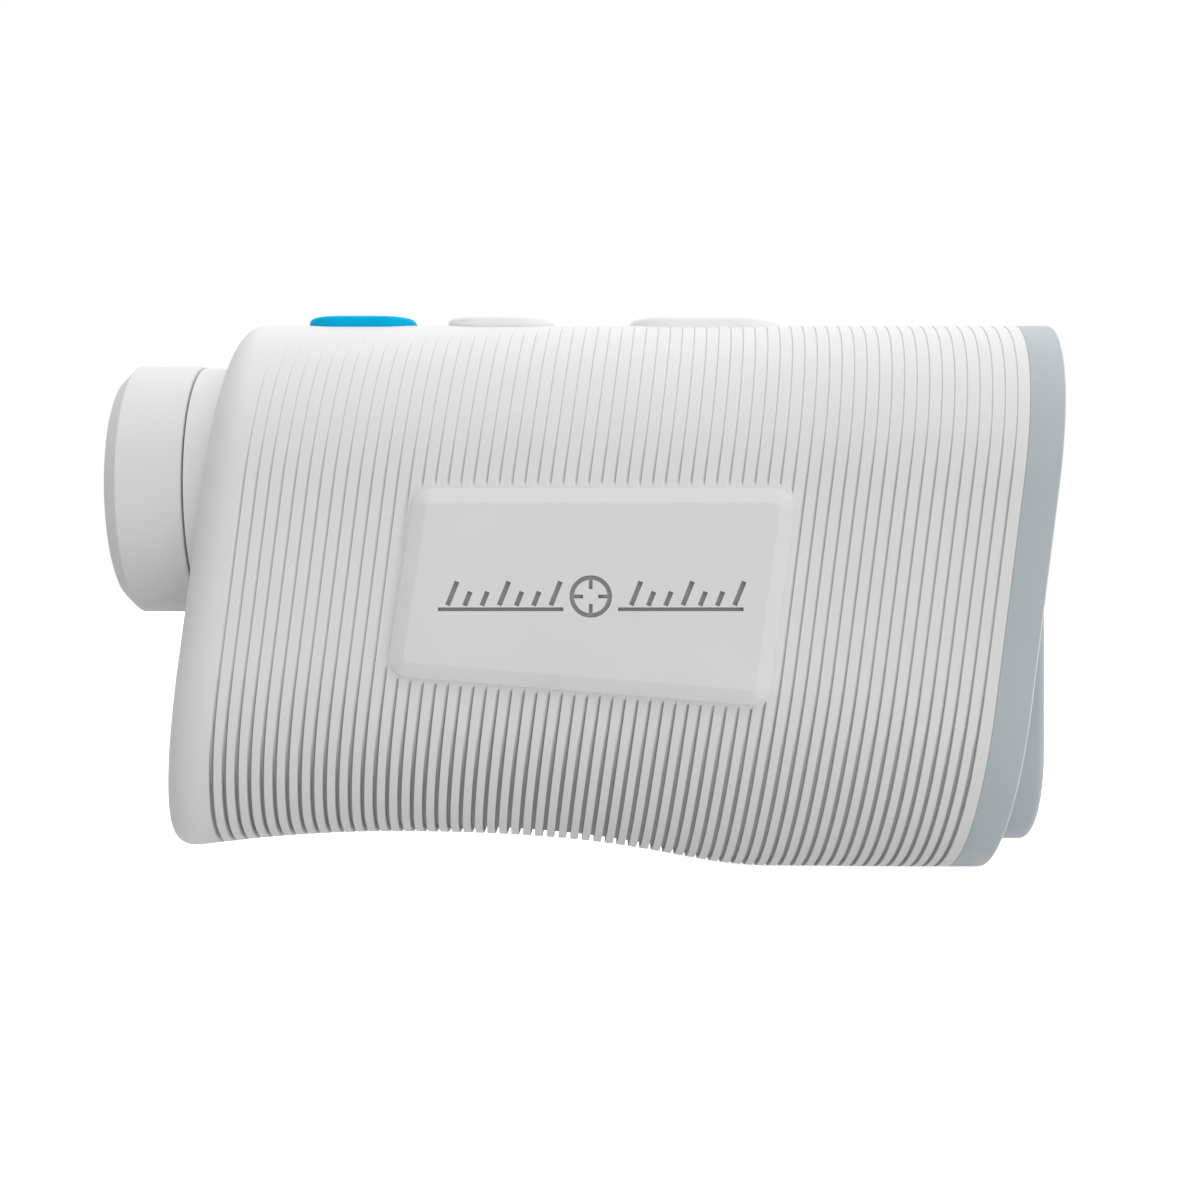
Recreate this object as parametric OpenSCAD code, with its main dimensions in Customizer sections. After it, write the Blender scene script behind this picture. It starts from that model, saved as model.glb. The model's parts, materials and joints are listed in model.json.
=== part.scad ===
/* [Casing] */
// Half of the casing's width
half_w = 20.3; // [19.5:0.1:21]
// Height of the casing's crown above its lowest line
crown_z = 67; // [66:0.5:68]
// Wall thickness of the casing halves
wall = 2; // [1.6:0.1:2.2]
// Slope of every cross plane: step in X for each step in Z
lean = 0.1265; // [0.12:0.0005:0.13]
// X of the rear face's plane at Z = 0
rear_x = -50.6; // [-51:0.1:-50]
// X of the joint between casing and bezel at Z = 0
seam_x = 44.1; // [43.5:0.1:44.5]
// X of the bezel's front edge at Z = 0
rim_x = 48.3; // [48:0.1:48.6]
// Rise of the underside in the hand grip
grip_rise = 4.6; // [4:0.1:5]

/* [Optics] */
// Height of the sighting axis
axis_z = 46.8; // [46:0.1:47.5]
// Height of the receiver lens axis
receiver_z = 15.3; // [15:0.1:16]
// Half of the lens housing's width, and the radius of its round ends
housing_r = 12; // [11.6:0.1:12.4]
// X of the lens housing's front face
housing_x = 54.5; // [54:0.1:55]
// Outer radius of the eyecup
eyecup_r = 15.25; // [15:0.05:15.5]
// X of the eyecup's rear end
eyecup_x = -56.75; // [-57:0.05:-56.5]

/* [Controls] */
// Length of a push button along X
button_l = 13.2; // [12:0.1:13.5]
// Width of a push button
button_w = 10.4; // [9:0.1:11]
// Height of the controls' top faces
button_z = 67.8; // [67.5:0.1:68.5]
// X of the fire button's centre
fire_x = -27.8; // [-28:0.1:-27.5]
// X of the mode button's centre
mode_x = -10.6; // [-11:0.1:-10.3]
// X of the slope switch's centre
slope_x = 14.8; // [14.5:0.1:15.5]

/* [Plates] */
// Distance of a plate's outer face from the middle plane
plate_y = 21.7; // [21.5:0.1:22]
// Width of a plate's bevel
bevel = 1.7; // [1.2:0.1:2]

/* [Power] */
// Height at which the battery's axis meets the rear face
battery_z = 20.3; // [20:0.1:20.6]
// Radius of the battery
battery_r = 7.75; // [7.5:0.05:7.8]

/* [Hidden] */

$fn = 64;
// Steps round a quarter of the casing's section
steps = 12;
// Longer than the whole object in every direction
long = 160;
// Clearance between pieces that don't move against each other
gap = 0.1;
// Running clearance of a round part that turns or slides
run = 0.05;

lean_angle = atan(lean);
// Heights of the widest lines of the section's round ends
upper_z = 46;
lower_z = 23;
upper_h = crown_z - upper_z;

// Neck, dioptre thread and lens cell
neck_r = 15;
neck_x = -47.1;
thread_r = 11.8;
sleeve_r = 13.2;
cell_r = 10.5;
groove_end = -41;
barrel_end = -37.2;
cell_end = -38.6;
rear_stack = -50.6;

// Case screws: X and Z of the two posts, under the plates
posts = [[-14, 30], [17, 28]];
post_r = 2.6;
screw_r = 0.9;

// Corners of a plate, seen from the side, as X and Z
plate_corners = [[-22.7, 24.4], [20.7, 20.9], [24.1, 45.7], [-19.4, 45.7]];
plate_corner_r = 2;

// Heights inside, from the button board upwards
board_z = 57;
board_top = board_z + 1;
can_floor = board_top + 0.4;
can_top = board_top + 1.6;
press = 0.8;
stem_z = can_top + press;
flange_z = stem_z + 1;
slide_x = slope_x - 2;
slide_z = 62.6;

// Battery compartment, as distances from the rear face along the battery's axis
tube_r = 9;
cap_r = 9.4;
cap_face = 0.15;
cap_seat = wall;
battery_rear = cap_seat + 3.7;
battery_front = battery_rear + 26.2;
contact_rear = battery_front + 0.9;
tube_floor = contact_rear + 0.8;

// A closed outline in Y and Z, made smaller by an inset all round
function section(inset) = [
    for (i = [0 : 4 * steps - 1])
        let (a = 90 * i / steps)
        let (c = cos(a))
        let (s = sin(a))
        let (up = s > 0)
        let (n = up ? 2 / 2.1 : 1)
        let (h = up ? upper_h : lower_z)
        [
            sign(c) * (half_w - inset) * pow(abs(c), n),
            (up ? upper_z : lower_z) + sign(s) * (h - inset) * pow(abs(s), n)
        ]
];

// Point of a cubic curve through its first and last control points
function cubic(p, t) =
    pow(1 - t, 3) * p[0] + 3 * pow(1 - t, 2) * t * p[1]
    + 3 * (1 - t) * t * t * p[2] + t * t * t * p[3];

// The underside from front to rear: flat, then the rise into the hand grip
grip_curve = [
    for (i = [0 : 12])
        cubic([[24, 0], [11, 0], [8, grip_rise], [-24, grip_rise]], i / 12)
];
grip_tail = [
    for (i = [1 : 6])
        [-24 - 4.4 * i, grip_rise - 1.5 * pow(i / 6, 2)]
];
side_outline = concat(
    [[90, 0]], grip_curve, grip_tail,
    [[rear_x, 3], [rear_x + lean * crown_z, crown_z], [90, crown_z]]
);

module along_y(length) {
    rotate([90, 0, 0])
        linear_extrude(length, center = true)
            children();
}

module along_x(length) {
    rotate([90, 0, 90])
        linear_extrude(length)
            children();
}

// A round bar along X, from x1 to x2 at a height
module bar(r, x1, x2, z) {
    translate([x1, 0, z])
        rotate([0, 90, 0])
            cylinder(r = r, h = x2 - x1);
}

module tube(r_out, r_in, x1, x2, z) {
    difference() {
        bar(r_out, x1, x2, z);
        bar(r_in, x1 - 1, x2 + 1, z);
    }
}

// A round bar along Y, from y1 to y2
module pin_y(r, x, z, y1, y2) {
    translate([x, y2, z])
        rotate([90, 0, 0])
            cylinder(r = r, h = y2 - y1);
}

module block(x, y, z) {
    translate([x[0], y[0], z[0]])
        cube([x[1] - x[0], y[1] - y[0], z[1] - z[0]]);
}

// The space between two leaning cross planes given by their X at Z = 0
module slab(x1, x2) {
    low = -10;
    high = 90;
    along_y(long)
        polygon([
            [x1 + lean * low, low], [x2 + lean * low, low],
            [x2 + lean * high, high], [x1 + lean * high, high]
        ]);
}

module section_bar(inset) {
    translate([-long / 2, 0, 0])
        along_x(long)
            polygon(section(inset));
}

// The casing's outer form, made smaller by an inset all round
module envelope(inset) {
    round_side = 4;
    round_plan = 6;
    intersection() {
        section_bar(inset);
        along_y(long)
            offset(delta = -inset)
                offset(r = round_side)
                    offset(delta = -round_side)
                        polygon(side_outline);
        rotate([0, lean_angle, 0])
            linear_extrude(2 * long, center = true)
                offset(delta = -inset)
                    offset(r = round_plan)
                        offset(delta = -round_plan)
                            translate([rear_x * cos(lean_angle), -half_w])
                                square([long, 2 * half_w]);
    }
}

module rounded(l, w, r) {
    offset(r = r)
        square([l - 2 * r, w - 2 * r], center = true);
}

// Places children on the battery's axis, which stands square to the rear face
module on_battery_axis() {
    translate([rear_x + lean * battery_z, 0, battery_z])
        rotate([0, lean_angle, 0])
            children();
}

// Upright block with a rounded outline, from z1 to z2
module key_block(x, l, w, r, z1, z2) {
    translate([x, 0, z1])
        linear_extrude(z2 - z1)
            rounded(l, w, r);
}

module pill(r, x1, x2) {
    translate([x1, 0, 0])
        along_x(x2 - x1)
            hull() {
                translate([0, axis_z])
                    circle(r);
                translate([0, receiver_z])
                    circle(r);
            }
}

// Casing halves. side is -1 for the right half and 1 for the left half.
module shell_half(side) {
    y_face = side > 0 ? 0.02 : -0.02;
    difference() {
        union() {
            difference() {
                intersection() {
                    envelope(0);
                    slab(rear_x - 5, seam_x);
                    block([-80, 80], side > 0 ? [y_face, 40] : [-40, y_face], [-5, 90]);
                }
                envelope(wall);
            }
            intersection() {
                envelope(wall / 2);
                for (p = posts)
                    pin_y(
                        post_r, p[0], p[1],
                        side > 0 ? y_face : -half_w, side > 0 ? half_w : y_face
                    );
            }
        }
        bar(neck_r + run, -60, -30, axis_z);
        on_battery_axis()
            bar(cap_r + 0.4, -10, cap_seat + 2, 0);
        key_block(fire_x, button_l + 0.6, button_w + 0.6, 4.5, 60, 75);
        key_block(mode_x, button_l + 0.6, button_w + 0.6, 4.5, 60, 75);
        key_block(slope_x, 15, 6.6, 3.2, 60, 75);
        for (p = posts) {
            if (side < 0) {
                pin_y(screw_r + gap, p[0], p[1], -30, 1);
                pin_y(2.1, p[0], p[1], -30, -half_w + 1.6);
            } else {
                pin_y(screw_r + run, p[0], p[1], -1, 12);
            }
        }
    }
}

module right_shell() {
    color("#ECECEC")
        shell_half(-1);
}

module left_shell() {
    color("#ECECEC")
        shell_half(1);
}

module front_bezel() {
    lip = 1.2;
    recess = 2.4;
    floor_t = 1.8;
    floor_x = rim_x - recess - floor_t;
    color("#AEB6BA")
        difference() {
            union() {
                intersection() {
                    section_bar(0);
                    slab(seam_x + 0.02, rim_x);
                }
                intersection() {
                    section_bar(wall + gap);
                    slab(seam_x - 3, seam_x + 1);
                }
            }
            intersection() {
                section_bar(lip);
                slab(rim_x - recess, rim_x + 20);
            }
            intersection() {
                section_bar(wall + 1.5);
                slab(seam_x - 10, floor_x);
            }
            pill(housing_r + gap, 20, 80);
        }
}

module lens_housing() {
    inner_x = 38;
    color("#A6AEB3")
        difference() {
            pill(housing_r, inner_x, housing_x);
            bar(10.4, 42, 60, axis_z);
            bar(9.4, 30, 60, axis_z);
            bar(9.6, 42, 60, receiver_z);
            bar(8.6, 30, 60, receiver_z);
        }
}

// Flat badge plate with a bevelled edge, lying on one flank
module plate(side) {
    flank = half_w + 0.02;
    thick = plate_y - flank;
    translate([0, side * flank, 0])
        rotate([90, 0, 0])
            mirror([0, 0, side > 0 ? 1 : 0])
                hull() {
                    linear_extrude(0.4)
                        offset(r = plate_corner_r)
                            offset(delta = -plate_corner_r)
                                polygon(plate_corners);
                    linear_extrude(thick)
                        offset(r = plate_corner_r)
                            offset(delta = -plate_corner_r - bevel)
                                polygon(plate_corners);
                }
}

module right_plate() {
    color("#D2D2D2")
        plate(-1);
}

module left_plate() {
    color("#D2D2D2")
        plate(1);
}

module slope_surround() {
    color("#EDEDED")
        difference() {
            key_block(slope_x, 19.1, 11, 5.4, 65, button_z);
            section_bar(-0.05);
            key_block(slope_x, 15, 6.6, 3.2, 60, 75);
        }
}

module eyepiece_barrel() {
    color("#E4E4E4")
        difference() {
            union() {
                bar(neck_r, neck_x, groove_end + 1.2, axis_z);
                bar(thread_r, rear_stack + 2.1, barrel_end, axis_z);
            }
            tube(sleeve_r + run, thread_r, neck_x - 5, groove_end, axis_z);
            bar(cell_r + run, -60, barrel_end + 1, axis_z);
            pin_y(0.8, -43, axis_z, -neck_r - 1, -cell_r);
        }
}

// Keeps the lens cell from turning: it stands in a slot along the cell
module guide_pin() {
    color("#8C8F92")
        pin_y(0.78, -43, axis_z, -thread_r, -9.6);
}

// Round lens along X: flat rim of thickness t between two domed faces
module lens(r, x, t, bulge, z) {
    ball = (r * r + bulge * bulge) / (2 * bulge);
    half_angle = asin(r / ball);
    rear_arc = [
        for (i = [0 : 8])
            let (a = half_angle * (1 - i / 8))
            [ball * sin(a), -t / 2 - bulge + ball * (1 - cos(a))]
    ];
    front_arc = [
        for (i = [0 : 8])
            let (a = half_angle * i / 8)
            [ball * sin(a), t / 2 + bulge - ball * (1 - cos(a))]
    ];
    translate([x, 0, z])
        rotate([0, 90, 0])
            rotate_extrude()
                polygon(concat(rear_arc, front_arc));
}

module objective_lens() {
    color("#7FA8B5", 0.4)
        lens(10.35, 46, 2, 0.8, axis_z);
}

module objective_ring() {
    color("#26282A")
        tube(10.35, 9.2, 49, 51.2, axis_z);
}

module receiver_lens() {
    color("#7A4650", 0.5)
        lens(9.55, 46, 2, 0.8, receiver_z);
}

module receiver_ring() {
    color("#26282A")
        tube(9.55, 8.4, 49, 51.2, receiver_z);
}

// Open tray for prism, display and laser, with a tube to the eyepiece
module optics_chassis() {
    tray_y = 10.8;
    color("#3A3D40")
        difference() {
            union() {
                block([-22, 16], [-tray_y, tray_y], [36, 56]);
                bar(10, -37, -21, axis_z);
                block([14, 37.8], [-tray_y, tray_y], [36, 39]);
                block([34.8, 37.8], [-tray_y, tray_y], [36, 57]);
            }
            block([-13, 11.4], [-9.2, 9.2], [37.5, 60]);
            block([-19.4, -17.2], [-8.2, 8.2], [38.2, 60]);
            bar(8.6, -40, 60, axis_z);
            translate([-1, 0, 30])
                cylinder(r = 3.3, h = 12);
            for (y = [-6, 6])
                translate([27, y, 30])
                    cylinder(r = 1, h = 12);
        }
}

module roof_prism() {
    color("#B9CBD0", 0.5)
        difference() {
            block([-12.9, 11.3], [-9.1, 9.1], [37.6, 55.6]);
            for (s = [-1, 1])
                translate([s < 0 ? -12.9 : 11.3, 0, 55.6])
                    rotate([0, 45, 0])
                        cube([6, 20, 6], center = true);
        }
}

module reticle_display() {
    color("#22303A")
        difference() {
            block([-19.3, -17.3], [-8.1, 8.1], [38.3, 55.6]);
            bar(5.5, -19.9, -18.6, axis_z);
        }
}

// Metal can with its collimating lens, under the prism
module laser_diode() {
    color("#B79A55")
        translate([-1, 0, 0])
            union() {
                translate([0, 0, 28])
                    cylinder(r = 2.8, h = 1.5);
                translate([0, 0, 29.5])
                    cylinder(r = 2.3, h = 2.5);
                translate([0, 0, 32])
                    cylinder(r = 3.2, h = 5.4);
            }
}

module detector_board() {
    color("#2E6B45")
        block([16.4, 17.6], [-8, 8], [7.5, 24.2]);
}

module detector_can() {
    color("#A9ABAD")
        union() {
            bar(4.5, 17.6, 19, receiver_z);
            bar(4, 19, 22, receiver_z);
        }
}

module main_board() {
    color("#2E6B45")
        difference() {
            block([-33, 33], [12.6, 14], [33.5, 54]);
            for (x = [-30, 30])
                pin_y(1.1, x, 50.5, 10, 16);
        }
}

module board_parts() {
    color("#2B2B2D") {
        block([-14, -2], [14, 15.4], [38, 50]);
        block([4, 11], [14, 15.1], [41, 48]);
        block([16, 21], [14, 15.8], [37, 42]);
        for (x = [-26 : 3 : -17])
            block([x, x + 1.6], [14, 14.8], [42, 45]);
    }
}

module button_board() {
    color("#2E6B45")
        block([-35.5, 26], [-7, 7], [board_z, board_top]);
}

// Square switch cans, open at the top for their plungers
module tact_switches() {
    color("#55585B")
        for (x = [fire_x, mode_x])
            difference() {
                block([x - 2.6, x + 2.6], [-2.6, 2.6], [board_top, can_top]);
                translate([x, 0, can_floor])
                    cylinder(r = 1.45, h = 3);
            }
}

module slope_switch_can() {
    color("#8C8F92")
        difference() {
            block([slope_x - 6, slope_x + 6], [-2.5, 2.5], [board_top, board_top + 2.4]);
            block([slope_x - 4.4, slope_x + 4.4], [-1.2, 1.2], [board_top + 0.8, 65]);
        }
}

module button_seal() {
    color("#3B3D3F")
        difference() {
            block([-35, -3.2], [-6, 6], [can_top + 0.05, stem_z - 0.05]);
            for (x = [fire_x, mode_x])
                translate([x, 0, board_z])
                    cylinder(r = 2, h = 10);
        }
}

module flex_cable() {
    color("#C07A2A")
        translate([-4, 0, 0])
            along_x(8)
                polygon([
                    [7, 57.2], [12.2, 57.2], [12.2, 46], [12.58, 46],
                    [12.58, 57.5], [7, 57.5]
                ]);
}

module vibration_motor() {
    color("#A9ABAD")
        pin_y(5, 31, 26.5, 15.1, 17.9);
}

module cart_magnet() {
    color("#6F7275")
        block([-9, 13], [-18.1, -15.9], [34, 43]);
}

module battery() {
    color("#3C6E9E")
        on_battery_axis()
            union() {
                bar(battery_r, battery_rear, battery_front, 0);
                bar(3.2, battery_front - 0.01, battery_front + 0.8, 0);
            }
}

// Its flange lies behind the rear wall, and is the battery cap's seat
module battery_tube() {
    color("#4A4D50")
        on_battery_axis()
            difference() {
                union() {
                    bar(tube_r, wall + gap, tube_floor + 1.6, 0);
                    bar(10.7, wall + gap, wall + 1.3, 0);
                }
                bar(battery_r + 0.35, 0, tube_floor, 0);
            }
}

module front_contact() {
    color("#C9A227")
        on_battery_axis()
            bar(5, contact_rear, contact_rear + 0.7, 0);
}

module case_screws() {
    color("#8C8F92")
        for (p = posts)
            union() {
                pin_y(1.9, p[0], p[1], -half_w + 0.3, -half_w + 1.6);
                pin_y(screw_r, p[0], p[1], -half_w + 1.5, 9);
            }
}

module chassis_screws() {
    color("#8C8F92")
        for (y = [-6, 6])
            translate([27, y, 0])
                union() {
                    translate([0, 0, 39])
                        cylinder(r = 1.8, h = 1.2);
                    translate([0, 0, 34])
                        cylinder(r = screw_r, h = 5.1);
                }
}

// Push button: cap, retaining flange below the casing, and a stem
module push_button(x) {
    union() {
        key_block(x, button_l, button_w, 4.2, flange_z + 0.9, button_z);
        key_block(x, button_l + 1.8, button_w + 1.2, 4.6, flange_z, flange_z + 1);
        translate([x, 0, stem_z])
            cylinder(r = 1.4, h = flange_z - stem_z + 0.2);
    }
}

module fire_button() {
    color("#00A7D6")
        push_button(fire_x);
}

module mode_button() {
    color("#ECECEC")
        push_button(mode_x);
}

module plunger(x) {
    floor_z = can_floor + press + 0.05;
    translate([x, 0, floor_z])
        cylinder(r = 1.35, h = stem_z - floor_z);
}

module fire_plunger() {
    color("#C9A227")
        plunger(fire_x);
}

module mode_plunger() {
    color("#C9A227")
        plunger(mode_x);
}

// Thumb slide with a flange under the casing, at the rear end of its travel
module slope_slider() {
    color("#DADCDD")
        union() {
            key_block(slide_x, 10.2, 5.9, 2.8, slide_z + 1, button_z - 0.4);
            key_block(slide_x, 10.2, 8.4, 2, slide_z, slide_z + 1.1);
        }
}

module switch_lever() {
    color("#2B2B2D")
        block([slide_x - 1.2, slide_x + 1.2], [-0.9, 0.9], [board_top + 1, slide_z]);
}

module ocular_cell() {
    color("#2B2D2F")
        difference() {
            union() {
                bar(cell_r, rear_stack + 2, cell_end, axis_z);
                bar(9.4, rear_stack, rear_stack + 2.01, axis_z);
            }
            bar(8.7, -60, -45.5, axis_z);
            bar(7.6, -60, -30, axis_z);
            bar(8.7, -42.5, -30, axis_z);
            block([-46, cell_end + 1], [-cell_r - 1, -9.3], [axis_z - 1.1, axis_z + 1.1]);
        }
}

module eye_lens() {
    color("#7FA8B5", 0.4)
        lens(8.65, -47.9, 2.2, 0.9, axis_z);
}

module field_lens() {
    color("#7FA8B5", 0.4)
        lens(8.65, -40.6, 1.6, 0.7, axis_z);
}

module ocular_lock_ring() {
    color("#26282A")
        tube(10.9, 9.4 + run, rear_stack - 0.3, rear_stack + 0.75, axis_z);
}

// Threaded sleeve: its inner flange carries the lens cell along
module dioptre_sleeve() {
    color("#4A4D50")
        difference() {
            bar(sleeve_r, rear_stack + 0.85, groove_end - 0.3, axis_z);
            bar(thread_r + run, rear_stack + 1.9, -30, axis_z);
            bar(9.4 + run, -60, -30, axis_z);
        }
}

module eyecup() {
    chamfer = 1.7;
    front = neck_x - 0.25;
    color("#E6E6E6")
        translate([0, 0, axis_z])
            rotate([0, 90, 0])
                rotate_extrude()
                    polygon([
                        [sleeve_r + 0.02, front], [eyecup_r, front],
                        [eyecup_r, eyecup_x + chamfer],
                        [eyecup_r - chamfer, eyecup_x], [12.2, eyecup_x],
                        [11.3, eyecup_x + 1], [11.3, rear_stack + 0.8],
                        [sleeve_r + 0.02, rear_stack + 0.8]
                    ]);
}

module cap_contact() {
    color("#C9A227")
        on_battery_axis()
            bar(5.6, cap_seat + 1, cap_seat + 1.6, 0);
}

// Flat spring washer that presses the battery forward
module cap_spring() {
    color("#A9ABAD")
        on_battery_axis()
            tube(4.6, 3.2, cap_seat + 1.62, battery_rear - 0.05, 0);
}

// Screwed disc with a coin slot and a groove for its seal
module battery_cap() {
    slot_z = 0.9;
    color("#E4E4E4")
        on_battery_axis()
            difference() {
                union() {
                    bar(cap_r, cap_face, cap_seat, 0);
                    bar(battery_r + 0.3, cap_seat - 0.01, cap_seat + 2.4, 0);
                }
                bar(6, cap_seat + 0.9, cap_seat + 5, 0);
                block([-10, cap_face + 1.1], [-5.5, 5.5], [-slot_z, slot_z]);
                tube(10, 7, cap_seat + 0.15, cap_seat + 1.15, 0);
            }
}

module cap_seal() {
    color("#1E1F20")
        on_battery_axis()
            translate([cap_seat + 0.65, 0, 0])
                rotate([0, 90, 0])
                    rotate_extrude()
                        translate([7.52, 0])
                            circle(0.45, $fn = 24);
}

right_shell();
left_shell();
front_bezel();
lens_housing();
right_plate();
left_plate();
slope_surround();
eyepiece_barrel();
guide_pin();
objective_lens();
objective_ring();
receiver_lens();
receiver_ring();
optics_chassis();
roof_prism();
reticle_display();
laser_diode();
detector_board();
detector_can();
main_board();
board_parts();
button_board();
tact_switches();
slope_switch_can();
button_seal();
flex_cable();
vibration_motor();
cart_magnet();
battery();
battery_tube();
front_contact();
case_screws();
chassis_screws();
fire_button();
fire_plunger();
mode_button();
mode_plunger();
slope_slider();
switch_lever();
ocular_cell();
eye_lens();
field_lens();
ocular_lock_ring();
dioptre_sleeve();
eyecup();
cap_contact();
cap_spring();
battery_cap();
cap_seal();
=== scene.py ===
import json
import math

import bmesh
import bpy
import numpy as np
from mathutils import Matrix, Vector


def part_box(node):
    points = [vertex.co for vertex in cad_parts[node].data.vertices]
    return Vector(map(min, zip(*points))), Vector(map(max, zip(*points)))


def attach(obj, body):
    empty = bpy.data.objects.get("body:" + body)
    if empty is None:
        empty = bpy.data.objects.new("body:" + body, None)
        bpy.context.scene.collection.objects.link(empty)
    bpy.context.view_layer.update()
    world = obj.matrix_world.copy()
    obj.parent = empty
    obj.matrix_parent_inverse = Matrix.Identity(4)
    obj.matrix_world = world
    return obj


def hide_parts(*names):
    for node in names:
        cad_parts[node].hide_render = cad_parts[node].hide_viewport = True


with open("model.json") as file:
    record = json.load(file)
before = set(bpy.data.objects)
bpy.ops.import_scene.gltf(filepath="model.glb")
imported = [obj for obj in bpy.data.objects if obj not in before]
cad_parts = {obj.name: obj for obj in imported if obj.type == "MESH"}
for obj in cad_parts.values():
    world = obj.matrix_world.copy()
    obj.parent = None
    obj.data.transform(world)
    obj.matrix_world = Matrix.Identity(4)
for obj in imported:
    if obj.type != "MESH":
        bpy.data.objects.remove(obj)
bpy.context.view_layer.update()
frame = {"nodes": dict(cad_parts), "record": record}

# Lengths in this script are millimetres in the frame's axes.
# Meshes are scaled to metres as they are made.
MM = 0.001


def box_mm(node):
    """Lowest and highest corner of a CAD node."""
    low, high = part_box(node)
    return low / MM, high / MM


# ---------------------------------------------------------------- driving sizes
LEAN = 0.1265  # step in X for each step in Z of every cross plane
LEAN_ANGLE = math.atan(LEAN)
UPPER_Z = 46.0  # where the crown's round end starts
FLANK_FOOT = 24.0  # where the lower round end starts, in the rows' own count
CROWN_POWER = 2 / 2.1

shell_low, shell_high = box_mm("right_shell")
HALF_W = -shell_low.y
CROWN_Z = shell_high.z
SEAM_X = shell_high.x - LEAN * CROWN_Z
RIM_X = box_mm("front_bezel")[1].x - LEAN * CROWN_Z
CASING_LENGTH = 94.7  # from the rear plane to the bezel's plane, along X
REAR_X = SEAM_X - CASING_LENGTH
WALL = 2.0
CAP_FACE = 0.15  # how far the battery cap's face lies inside the rear plane

eyecup_low, eyecup_high = box_mm("eyecup")
AXIS_Z = (eyecup_low.z + eyecup_high.z) / 2
housing_low, housing_high = box_mm("lens_housing")
HOUSING_R = housing_high.y
RECEIVER_Z = housing_low.z + HOUSING_R
PLATE_Y = box_mm("left_plate")[1].y

# Ribs: each groove is a ramp with a steep front wall above, and a square slot below
GROOVES, PITCH, FIRST_GROOVE = 61, 1.458, -44.87
GROOVE_BACK, GROOVE_FRONT, GROOVE_WALL = -0.44, 0.09, 0.05
UPPER_DEPTH, LOWER_DEPTH = 0.34, 0.8

# Radius of the rear edge's fillet: on the flank, at the crown and at the underside
REAR_FILLET, CROWN_FILLET, FOOT_FILLET = 4.8, 2.4, 2.9

# Badge plate, seen from the side, as X and Z
PLATE_CORNERS = ((-22.7, 24.4), (20.7, 20.9), (24.1, 45.7), (-19.4, 45.7))
PLATE_CORNER_R = 2.3
PLATE_BEVEL = 1.7
MARK_X, MARK_Z = 0.6, 33.4  # centre of the engraved mark
MARK_HALF_LENGTH, MARK_HALF_HEIGHT = 18, 3.3

# The camera stands square to the flank, this far from the middle plane
CAMERA_X, CAMERA_DISTANCE, CAMERA_Z = 1.65, 230, 33
CAMERA_LENS = 55.2


# ---------------------------------------------------------------- mesh helpers
def smooth(t):
    """Soft step from 0 to 1."""
    t = np.clip(t, 0, 1)
    return t * t * (3 - 2 * t)


def mesh_object(name, points, faces):
    mesh = bpy.data.meshes.new(name)
    mesh.from_pydata((np.asarray(points, float) * MM).tolist(), [], faces)
    tidy = bmesh.new()
    tidy.from_mesh(mesh)
    bmesh.ops.remove_doubles(tidy, verts=tidy.verts, dist=1e-7)
    bmesh.ops.recalc_face_normals(tidy, faces=tidy.faces)
    tidy.to_mesh(mesh)
    tidy.free()
    piece = bpy.data.objects.new(name, mesh)
    bpy.context.scene.collection.objects.link(piece)
    return piece


def ring_faces(rings, size, closed=False):
    """Quads between rings of points; closed also joins the last ring to the first."""
    faces = []
    for a in range(rings if closed else rings - 1):
        b = (a + 1) % rings
        for i in range(size):
            j = (i + 1) % size
            faces.append((a * size + i, a * size + j, b * size + j, b * size + i))
    return faces


def loft(name, rings, closed=False):
    """A solid through rings of equal size; its ends are capped unless it closes on itself."""
    size = len(rings[0])
    faces = ring_faces(len(rings), size, closed)
    if not closed:
        faces.append(tuple(range(size)))
        faces.append(tuple(range((len(rings) - 1) * size, len(rings) * size)))
    return mesh_object(name, np.concatenate([np.asarray(r, float) for r in rings]), faces)


def apply_modifiers(piece):
    bpy.context.view_layer.update()
    graph = bpy.context.evaluated_depsgraph_get()
    mesh = bpy.data.meshes.new_from_object(piece.evaluated_get(graph))
    piece.modifiers.clear()
    old, piece.data = piece.data, mesh
    bpy.data.meshes.remove(old)


def carve(piece, *cutters, operation="DIFFERENCE"):
    for cutter in cutters:
        cut = piece.modifiers.new("cut", "BOOLEAN")
        cut.operation = operation
        cut.solver = "MANIFOLD"
        cut.object = cutter
    apply_modifiers(piece)
    for cutter in cutters:
        bpy.data.meshes.remove(cutter.data)
    return piece


def shade(piece, angle=30):
    mesh = piece.data
    mesh.polygons.foreach_set("use_smooth", np.ones(len(mesh.polygons), bool))
    mesh.set_sharp_from_angle(angle=math.radians(angle))


def place(piece, matrix):
    """Moves a piece's points; the matrix is in millimetres."""
    matrix = matrix.copy()
    matrix.translation *= MM
    piece.data.transform(matrix)


def fillet_loop(corners, steps=6):
    """Closed outline through (a, b, radius) corners, with an arc at each."""
    points = []
    count = len(corners)
    for i, (a, b, radius) in enumerate(corners):
        corner = np.array([a, b], float)
        before = np.array(corners[i - 1][:2], float) - corner
        after = np.array(corners[(i + 1) % count][:2], float) - corner
        if radius <= 0:
            points.append(corner)
            continue
        before /= np.linalg.norm(before)
        after /= np.linalg.norm(after)
        half = math.acos(np.clip(before @ after, -1, 1)) / 2
        middle = (before + after) / np.linalg.norm(before + after)
        centre = corner + middle * radius / math.sin(half)
        start = corner + before * radius / math.tan(half) - centre
        end = corner + after * radius / math.tan(half) - centre
        sweep = math.atan2(start[0] * end[1] - start[1] * end[0], start @ end)
        for k in range(steps + 1):
            turn = sweep * k / steps
            c, s = math.cos(turn), math.sin(turn)
            points.append(centre + (start[0] * c - start[1] * s, start[0] * s + start[1] * c))
    return points


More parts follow.
